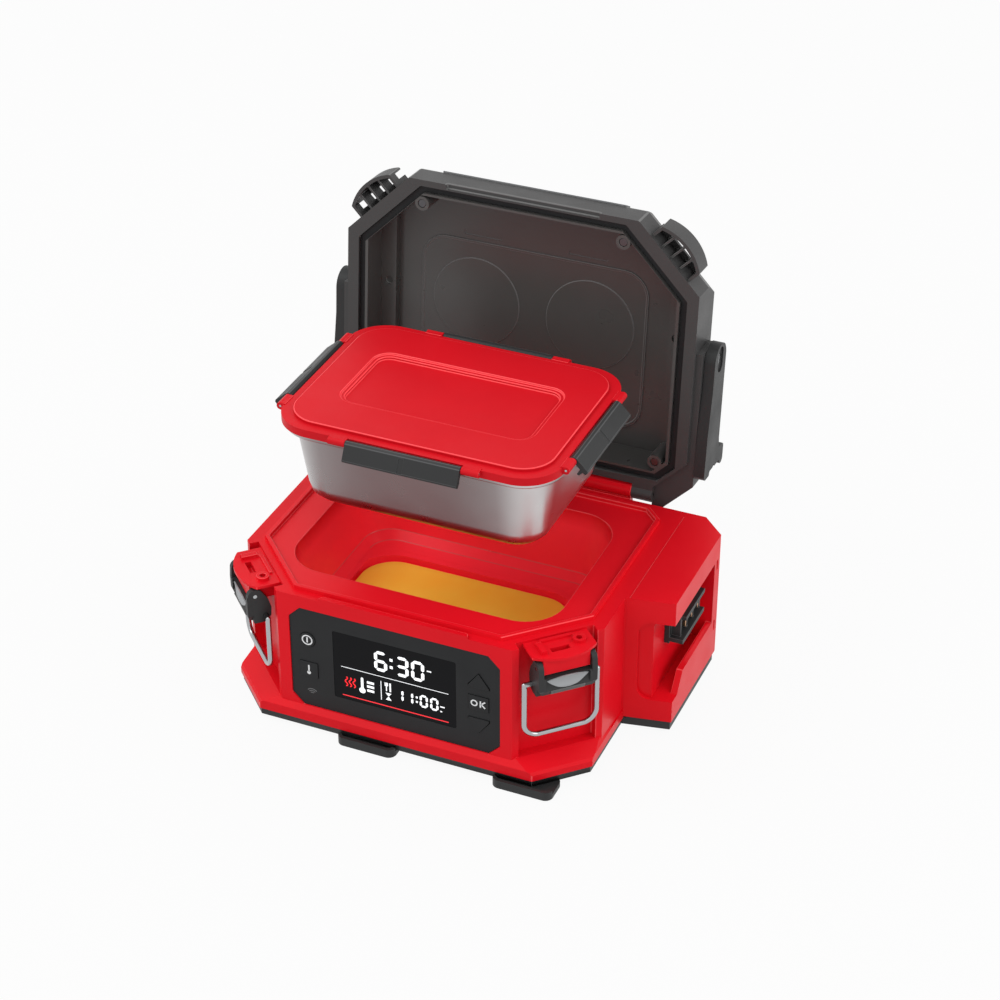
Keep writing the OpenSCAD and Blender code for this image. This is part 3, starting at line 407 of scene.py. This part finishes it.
def soften(name, finish, edge_mm, segments=2, angle=20, crease=11):
    """A rounded copy of a node: folds past angle are bevelled, smaller ones past crease stay crisp."""
    shape = merged_faces(frame["nodes"][name])
    share = shape.edges.layers.float["bevel_weight_edge"]
    origin = shape.faces.layers.int["origin"]
    sharp = {edge for edge in shape.edges if edge.calc_face_angle(0) > math.radians(angle)}
    wanted = edge_mm * MM
    room = {edge: wanted for edge in sharp}
    for number, face in enumerate(shape.faces):
        face[origin] = number
        face.smooth = True
        for edge, width in room_in_face(face, sharp, wanted).items():
            room[edge] = min(room[edge], width)
    for edge, width in room.items():
        edge[share] = width / wanted
    for edge in shape.edges:
        edge.smooth = edge in sharp or edge.calc_face_angle(0) < math.radians(crease)
    mesh = bpy.data.meshes.new(name + "_soft")
    shape.to_mesh(mesh)
    shape.free()
    piece = bpy.data.objects.new(name + "_soft", mesh)
    bpy.context.scene.collection.objects.link(piece)
    mesh.materials.append(finish)
    # Slot 1 holds the paler copy of the finish where there is one, a painted highlight for the bevel strips; other
    # finishes fill it with themselves.
    mesh.materials.append(painted_highlight_of.get(finish, finish))
    bevel = piece.modifiers.new("rounded_edges", "BEVEL")
    bevel.material = 1
    bevel.width = wanted
    bevel.segments = segments
    bevel.limit_method = "WEIGHT"
    bevel.use_clamp_overlap = False
    bevel.miter_outer = "MITER_ARC"
    bevel.face_strength_mode = "FSTR_ALL"
    straight = [polygon.normal.copy() for polygon in mesh.polygons]
    weight = mesh.attributes["bevel_weight_edge"].data
    folded_over = {edge.index for edge in mesh.edges if weight[edge.index].value > 0}
    for attempt in range(8):
        found = folds(piece, straight)
        if not found:
            break
        edges = {mesh.loops[loop].edge_index for number in found for loop in mesh.polygons[number].loop_indices}
        for edge in edges:
            weight[edge].value *= 0.5 if attempt < 5 else 0.0
            if attempt >= 5 and mesh.edges[edge].index in folded_over:
                mesh.edges[edge].use_edge_sharp = True
        mesh.update()
    mesh.attributes.remove(mesh.attributes["origin"])
    weights = piece.modifiers.new("even_shading", "WEIGHTED_NORMAL")
    weights.keep_sharp = True
    weights.use_face_influence = True
    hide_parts(name)
    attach(piece, body_of_node[name])
    if attempt:
        print(name, "needed", attempt, "rounds of narrower edges, folds left:", len(found))
    return piece


# %% [markdown]
# ## The red body
# Housing, deck liner, hinge barrel and latch brackets come from the same red moulding; the deck
# liner's copy is brighter and carries painted light. Their edges are rounded by about half a
# millimetre, and the rounded strips take a paler red, a painted highlight: together they give
# the thin bright lines along the chamfers and the rim.

# %% Soften the red body
soften("housing_shell", red_moulding, 0.6)
soften("bay_liner", bay_red_painted_light, 0.6, angle=27, crease=17)
soften("hinge_mount", red_moulding, 0.4)
for name in ("latch_bracket_left", "latch_bracket_right"):
    soften(name, red_moulding, 0.35)
print("red body pieces: 5")

# %% [markdown]
# ## Tray, feet and hooks
# The black tray closes the body from below. The two front hooks lock the box onto another
# one, and take a larger rounding because hands and boots meet them.

# %% Soften the underside
soften("bottom_tray", black_moulding, 0.5)
soften("front_cleats", black_moulding, 1.0, segments=3)
soften("rear_feet", seal_rubber, 0.6)
soften("housing_screws", screw_steel, 0.2)

# %% [markdown]
# ## Heating plate and what lies under it
# The amber plate lies in a shallow well at the bottom of the bay. Under it are a foil heater,
# a felt pad, a probe and a cut-out. Nobody sees them unless the box is taken apart.

# %% Soften the heater
soften("heating_plate", amber_coat, 0.6, segments=3)
soften("heater_element", copper, 0.1)
soften("plate_insulation", felt, 0.3)
soften("temperature_probe", screw_steel, 0.3)
soften("thermal_cutout", screw_steel, 0.3)

# %% [markdown]
# ## Electronics
# Boards, display module, contacts and leads sit behind the walls. The battery's terminal
# block is the part of them that shows, in the pocket on the right.

# %% Soften the electronics
soften("display_module", liner_moulding, 0.3)
soften("control_board", board_finish, 0.15)
soften("power_board", board_finish, 0.15)
soften("button_pads", seal_rubber, 0.2)
soften("terminal_block", black_moulding, 0.3)
soften("terminal_blades", copper, 0.1)
soften("battery_wires", lead_rubber, 0.05)

# %% [markdown]
# ## Lid
# The black lid has thick walls and a rounded top edge. The liner inside is a separate, softer
# looking moulding held by four screws, and the gasket lies between the two.

# %% Soften the lid
soften("lid_shell", lid_moulding, 0.9, segments=3)
soften("lid_liner", liner_moulding, 0.6, segments=3)
soften("lid_insulation", felt, 0.2)
soften("lid_gasket", seal_rubber, 0.2)
soften("liner_screws", dark_steel, 0.2)
soften("lid_edge_strip", strip_moulding, 0.3)
for name in ("catch_left", "catch_right"):
    soften(name, lid_moulding, 0.5)

# %% [markdown]
# ## Handle, pins and latches
# The carry handle folds over the back of the lid. Levers and bails are small, so their
# roundings are small too. The bail is plated round wire, already round in the measured model.

# %% Soften the handle and latches
soften("handle_pivots", wire_steel, 0.3)
soften("carry_handle", black_moulding, 1.0, segments=3)
soften("handle_grip", grip_rubber, 0.5)
soften("hinge_pin", wire_steel, 0.2)
for side in ("left", "right"):
    soften("lever_pin_" + side, wire_steel, 0.2)
    soften("latch_lever_" + side, black_moulding, 0.8, segments=3)
    soften("lever_grip_" + side, grip_rubber, 0.15)
    soften("latch_bail_" + side, wire_steel, 0.05, angle=60)
print("bail wire width in millimetres:", 4)

# %% [markdown]
# ## Grip ribs on the levers
# Three fine ribs cross the lower front of each lever, where a thumb pulls it out. A rib is a
# slim rod with round ends, sunk a little into the lever so that it reads as one moulding.

# %% Add the grip ribs
def ribs(name, runs, radius_mm, finish, like, sides=10, rounds=3):
    """One piece of slim rods with round ends, each run given by its two end points in millimetres."""
    shape = bmesh.new()
    for start, end in runs:
        along = (end - start).normalized()
        across = along.orthogonal().normalized()
        other = along.cross(across)
        rings = []
        for point, way in ((start, -1), (end, 1)):
            lifts = [math.radians(90 * step / (rounds + 1)) for step in range(rounds + 1)]
            for lift in reversed(lifts) if way < 0 else lifts:
                middle = point + along * way * radius_mm * math.sin(lift)
                reach = radius_mm * math.cos(lift)
                turns = [math.tau * side / sides for side in range(sides)]
                rings.append([shape.verts.new((middle + (across * math.cos(a) + other * math.sin(a)) * reach) * MM)
                              for a in turns])
        for near, far in zip(rings, rings[1:]):
            for i in range(sides):
                j = (i + 1) % sides
                shape.faces.new((near[i], near[j], far[j], far[i])).smooth = True
        shape.faces.new(list(reversed(rings[0]))).smooth = True
        shape.faces.new(rings[-1]).smooth = True
    bmesh.ops.recalc_face_normals(shape, faces=shape.faces)
    mesh = bpy.data.meshes.new(name)
    shape.to_mesh(mesh)
    shape.free()
    mesh.materials.append(finish)
    piece = bpy.data.objects.new(name, mesh)
    bpy.context.scene.collection.objects.link(piece)
    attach(piece, body_of_node[like])


latch_x, latch_y = 115.5, -80.5
rib_places = [(18.0, 88.4), (17.55, 87.1), (17.05, 85.8)]
for side, way in (("left", -1), ("right", 1)):
    outward = Vector((way, -1, 0)).normalized()
    sideways = Vector((-outward.y, outward.x, 0))
    runs = []
    for out, height in rib_places:
        middle = Vector((way * latch_x, latch_y, height)) + outward * out
        runs.append((middle - sideways * 12.5, middle + sideways * 12.5))
    # The ribs take the lid's paler edge finish, the painted highlight.
    ribs("lever_ribs_" + side, runs, 0.45, lid_painted_highlight, "latch_lever_" + side)
print("grip ribs per lever:", len(rib_places))

# %% [markdown]
# ## Food container
# The pan is drawn steel with a rolled rim. Its lid is the same red, with a raised panel and a
# sunken middle, and four black clips that snap under the rim.

# %% Soften the food container
soften("food_pan", pan_steel_painted_reflections, 0.3, angle=45, crease=40)
soften("food_lid", red_lid_moulding, 0.7, segments=3)
soften("food_lid_seal", seal_rubber, 0.1)
soften("clip_pins", wire_steel, 0.15)
for edge in ("front", "back", "left", "right"):
    soften("clip_" + edge, black_moulding, 0.4, segments=3)

# %% [markdown]
# ## Control panel
# The panel is a textured frame round a glossy window. Buttons share its material, so only
# their printed signs and the thin gap round each one give them away.

# %% Soften the panel
soften("panel_frame", panel_moulding, 0.25)
soften("display_window", window_black, 0.15)
button_names = ("power_button", "temperature_button", "up_button", "ok_button", "down_button")
for name in button_names:
    soften(name, panel_moulding, 0.3)
window_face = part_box("display_window")[0].y
button_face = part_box("power_button")[0].y
print("window face y in millimetres:", round(window_face / MM, 2))

# %% [markdown]
# ## Drawing flat signs
# A sign is a list of outlines in the panel's plane. Each outline becomes a thin plate, just
# thick enough to stand clear of the surface behind it. Strokes, rings and arcs are turned
# into outlines first, so one helper can build every sign.

# %% Helpers that draw signs
def sign(name, outlines, face_y, finish, body, thick_mm=0.08):
    shape = bmesh.new()
    for outline in outlines:
        front = [shape.verts.new((x * MM, face_y - thick_mm * MM, z * MM)) for x, z in outline]
        back = [shape.verts.new((x * MM, face_y + 0.02 * MM, z * MM)) for x, z in outline]
        shape.faces.new(front)
        shape.faces.new(list(reversed(back)))
        for i in range(len(outline)):
            j = (i + 1) % len(outline)
            shape.faces.new((front[j], front[i], back[i], back[j]))
    bmesh.ops.recalc_face_normals(shape, faces=shape.faces)
    mesh = bpy.data.meshes.new(name)
    shape.to_mesh(mesh)
    shape.free()
    mesh.materials.append(finish)
    piece = bpy.data.objects.new(name, mesh)
    bpy.context.scene.collection.objects.link(piece)
    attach(piece, body)
    return piece


def stroke(points, width):
    """One outline per straight run of a line of this width, each run lapping the next a little."""
    outlines = []
    for (x0, z0), (x1, z1) in zip(points, points[1:]):
        along = Vector((x1 - x0, z1 - z0)).normalized()
        side = Vector((-along.y, along.x)) * width / 2
        lap = along * width * 0.25
        a = Vector((x0, z0)) - lap
        b = Vector((x1, z1)) + lap
        outlines.append([tuple(a + side), tuple(a - side), tuple(b - side), tuple(b + side)])
    return outlines


def arc_points(x, z, radius, start, end, steps=18):
    turn = [math.radians(start + (end - start) * i / steps) for i in range(steps + 1)]
    return [(x + radius * math.cos(a), z + radius * math.sin(a)) for a in turn]


def ring(x, z, outer, inner, start=0, end=360, steps=28):
    """A ring or part of one, as one four-sided outline per step."""
    far = arc_points(x, z, outer, start, end, steps)
    near = arc_points(x, z, inner, start, end, steps)
    return [[far[i], far[i + 1], near[i + 1], near[i]] for i in range(steps)]


def rectangle(x0, z0, x1, z1):
    return [[(x0, z0), (x1, z0), (x1, z1), (x0, z1)]]


# %% [markdown]
# ## Seven-segment figures
# Display figures are built from seven bars with pointed ends. Each digit is a choice of bars,
# so a single table of digits draws the clock and the timer.

# %% Draw a seven-segment digit
BARS_OF_DIGIT = {"0": "abcdef", "1": "bc", "3": "abgcd", "6": "afgedc"}


def bar(x0, z0, x1, z1, width):
    """A bar with pointed ends from one joint of the figure to the next."""
    start, end = Vector((x0, z0)), Vector((x1, z1))
    along = (end - start).normalized()
    side = Vector((-along.y, along.x)) * width / 2
    gap = width * 0.12
    start, end = start + along * gap, end - along * gap
    tip = along * width * 0.5
    points = [start, start + tip + side, end - tip + side, end, end - tip - side, start + tip - side]
    return [tuple(point) for point in points]


def digit(figure, x, z, wide, tall, width):
    left, right = x + width / 2, x + wide - width / 2
    low, middle, high = z + width / 2, z + tall / 2, z + tall - width / 2
    bars = {
        "a": (left, high, right, high), "b": (right, high, right, middle),
        "c": (right, middle, right, low), "d": (left, low, right, low),
        "e": (left, middle, left, low), "f": (left, high, left, middle),
        "g": (left, middle, right, middle),
    }
    return [bar(*bars[key], width) for key in BARS_OF_DIGIT[figure]]


# %% [markdown]
# ## What the display shows
# The upper row is a clock. The lower row has a heat sign, a thermometer with its level bars, a
# meal sign with a sand glass, and a timer. A red line runs along the bottom.

# %% Draw the clock and the timer
clock = digit("6", -15.5, 68.6, 10.2, 17.2, 2.5)
clock += rectangle(-3.3, 73.2, -1.0, 75.6) + rectangle(-3.3, 79.6, -1.0, 82.0)
clock += digit("3", 1.2, 68.6, 10.2, 17.2, 2.5)
clock += digit("0", 13.4, 68.6, 10.2, 17.2, 2.5)
sign("display_clock", clock, window_face, white_sign, "box")
timer = digit("1", 0.6, 46.2, 6.4, 11.0, 1.7) + digit("1", 8.2, 46.2, 6.4, 11.0, 1.7)
timer += rectangle(16.6, 49.0, 18.1, 50.6) + rectangle(16.6, 53.0, 18.1, 54.6)
timer += digit("0", 19.6, 46.2, 6.4, 11.0, 1.7) + digit("0", 27.8, 46.2, 6.4, 11.0, 1.7)
timer += rectangle(35.6, 46.4, 37.0, 47.4) + rectangle(35.6, 50.6, 39.0, 51.6)
sign("display_timer", timer, window_face, white_sign, "box")
print("clock and timer bars:", len(clock) + len(timer))

# %% Draw the small signs
thin_lines = rectangle(-42, 63.8, 42, 64.2) + rectangle(-10.9, 43.4, -10.4, 60)
thin_lines += rectangle(25.6, 79.0, 29.0, 80.0)
sign("display_lines", thin_lines, window_face, white_sign, "box")
thermometer = ring(-25.6, 47.2, 2.5, 0.0, steps=18)
thermometer += rectangle(-26.6, 48.5, -24.6, 57.6) + ring(-25.6, 57.6, 1.0, 0.0, 0, 180, 10)
for row in range(3):
    thermometer += rectangle(-21.8, 47.4 + row * 3.6, -16.2, 49.4 + row * 3.6)
sign("display_thermometer", thermometer, window_face, white_sign, "box")
meal = stroke([(-6.4, 52.6), (-6.4, 59.6)], 0.8) + stroke([(-3.4, 52.6), (-3.4, 59.6)], 1.2)
meal += stroke([(-7.4, 59.6), (-7.4, 57.2), (-5.4, 57.2), (-5.4, 59.6)], 0.6)
meal += [[(-7.2, 50.8), (-2.6, 50.8), (-4.9, 47.9)], [(-7.2, 44.6), (-2.6, 44.6), (-4.9, 47.7)]]
sign("display_meal", meal, window_face, white_sign, "box")
heat = []
for column in range(3):
    x = -38.2 + column * 3.1
    wave = [(x + 0.9 * math.sin(step * 0.9), 47.6 + step * 0.8) for step in range(11)]
    heat += stroke(wave, 0.9)
heat += rectangle(-41.5, 38.5, 42, 39.3)
sign("display_heat", heat, window_face, red_sign, "box")
print("small sign outlines:", len(thermometer) + len(meal) + len(heat))

# %% [markdown]
# ## Button signs
# The buttons carry printed signs: a power ring, a thermometer, two arrowheads and OK. They
# ride on the buttons, so they move in when a button is pressed.

# %% Print the button signs
power = ring(-68, 80.2, 4.3, 3.3) + rectangle(-68.55, 78.0, -67.45, 82.6)
sign("power_print", power, button_face, printed_white, "button_power")
small = ring(-67.7, 51.4, 1.5, 0.0, steps=16) + rectangle(-68.3, 52.2, -67.1, 58.0)
sign("temperature_print", small, button_face, printed_white, "button_temperature")
ok_text = ring(62.2, 63.2, 2.7, 1.7) + stroke([(67.0, 60.7), (67.0, 65.7)], 1.1)
ok_text += stroke([(70.4, 65.7), (67.6, 63.2), (70.4, 60.7)], 1.1)
sign("ok_print", ok_text, button_face, printed_white, "button_ok")
waves = []
for radius in (1.4, 3.0, 4.6):
    waves += ring(-66.2, 32.0, radius + 0.35, radius - 0.35, 40, 140, 10)
panel_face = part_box("panel_frame")[0].y
sign("wireless_print", waves, panel_face, strip_moulding, "box")
print("button face y in millimetres:", round(button_face / MM, 2))

# %% [markdown]
# ## Floor, backdrop and light
# A pale floor and a white surround stand for the studio. Cameras and mirrors see plain white,
# while the light on the object stays soft and even from three large lamps.

# %% Build the floor and the world
bpy.ops.mesh.primitive_plane_add(size=12, location=(0, 0, -0.0003))
floor = bpy.context.object
floor.name = "studio_floor"
floor_finish = bpy.data.materials.new("studio_white")
floor_finish.use_nodes = True
floor_tree = floor_finish.node_tree
floor_tree.nodes.clear()
floor_out = node(floor_tree, "ShaderNodeOutputMaterial")
matt = node(floor_tree, "ShaderNodeBsdfDiffuse", Color=(0.50, 0.50, 0.50, 1))
bright = node(floor_tree, "ShaderNodeEmission", Color=(1, 1, 1, 1), Strength=1.0)
blend = node(floor_tree, "ShaderNodeMixShader")
ray = node(floor_tree, "ShaderNodeLightPath")
share = node(floor_tree, "ShaderNodeMath", operation="MULTIPLY")
share.inputs[1].default_value = 0.93
mirror = node(floor_tree, "ShaderNodeMath", operation="MAXIMUM")
seen_by = node(floor_tree, "ShaderNodeMath", operation="MAXIMUM")
floor_tree.links.new(ray.outputs["Is Glossy Ray"], mirror.inputs[0])
floor_tree.links.new(ray.outputs["Is Transmission Ray"], mirror.inputs[1])
floor_tree.links.new(ray.outputs["Is Camera Ray"], seen_by.inputs[0])
floor_tree.links.new(mirror.outputs["Value"], seen_by.inputs[1])
floor_tree.links.new(seen_by.outputs["Value"], share.inputs[0])
floor_tree.links.new(share.outputs["Value"], blend.inputs["Fac"])
floor_tree.links.new(matt.outputs["BSDF"], blend.inputs[1])
floor_tree.links.new(bright.outputs["Emission"], blend.inputs[2])
floor_tree.links.new(blend.outputs["Shader"], floor_out.inputs["Surface"])
floor.data.materials.append(floor_finish)

world = bpy.data.worlds.new("studio_world")
bpy.context.scene.world = world
world.use_nodes = True
sky = world.node_tree
sky.nodes.clear()
sky_out = node(sky, "ShaderNodeOutputWorld")
seen = node(sky, "ShaderNodeBackground", Color=(1, 1, 1, 1), Strength=1.0)
lighting = node(sky, "ShaderNodeBackground", Color=(1, 1, 1, 1), Strength=1.12)
chooser = node(sky, "ShaderNodeMixShader")
sky_ray = node(sky, "ShaderNodeLightPath")
mirrors = node(sky, "ShaderNodeMath", operation="MAXIMUM")
viewers = node(sky, "ShaderNodeMath", operation="MAXIMUM")
sky.links.new(sky_ray.outputs["Is Glossy Ray"], mirrors.inputs[0])
sky.links.new(sky_ray.outputs["Is Transmission Ray"], mirrors.inputs[1])
sky.links.new(sky_ray.outputs["Is Camera Ray"], viewers.inputs[0])
sky.links.new(mirrors.outputs["Value"], viewers.inputs[1])
sky.links.new(viewers.outputs["Value"], chooser.inputs["Fac"])
sky.links.new(lighting.outputs["Background"], chooser.inputs[1])
sky.links.new(seen.outputs["Background"], chooser.inputs[2])
sky.links.new(chooser.outputs["Shader"], sky_out.inputs["Surface"])
print("floor size in metres:", 12)

# %% [markdown]
# ## Lamps
# A large lamp at the upper left gives the long soft highlights on the lid and the deck. A
# second one from the right fills the wing and the battery pocket, and a third from the front
# opens up the panel.

# %% Hang the lamps
def lamp(name, place, aim, size, watts):
    data = bpy.data.lights.new(name, "AREA")
    data.shape = "RECTANGLE"
    data.size, data.size_y = size
    data.energy = watts
    holder = bpy.data.objects.new(name, data)
    holder.location = place
    direction = Vector(aim) - Vector(place)
    holder.rotation_euler = direction.to_track_quat("-Z", "Y").to_euler()
    bpy.context.scene.collection.objects.link(holder)
    return holder


lamp("upper_left", (-1.1, -0.5, 1.7), (0, 0, 0.12), (1.2, 0.9), 10)
lamp("front_high", (0.2, -1.3, 1.9), (0, 0, 0.12), (1.2, 0.8), 2.5)
lamp("right_side", (1.6, 0.1, 0.9), (0.1, 0, 0.1), (1.0, 1.0), 7)
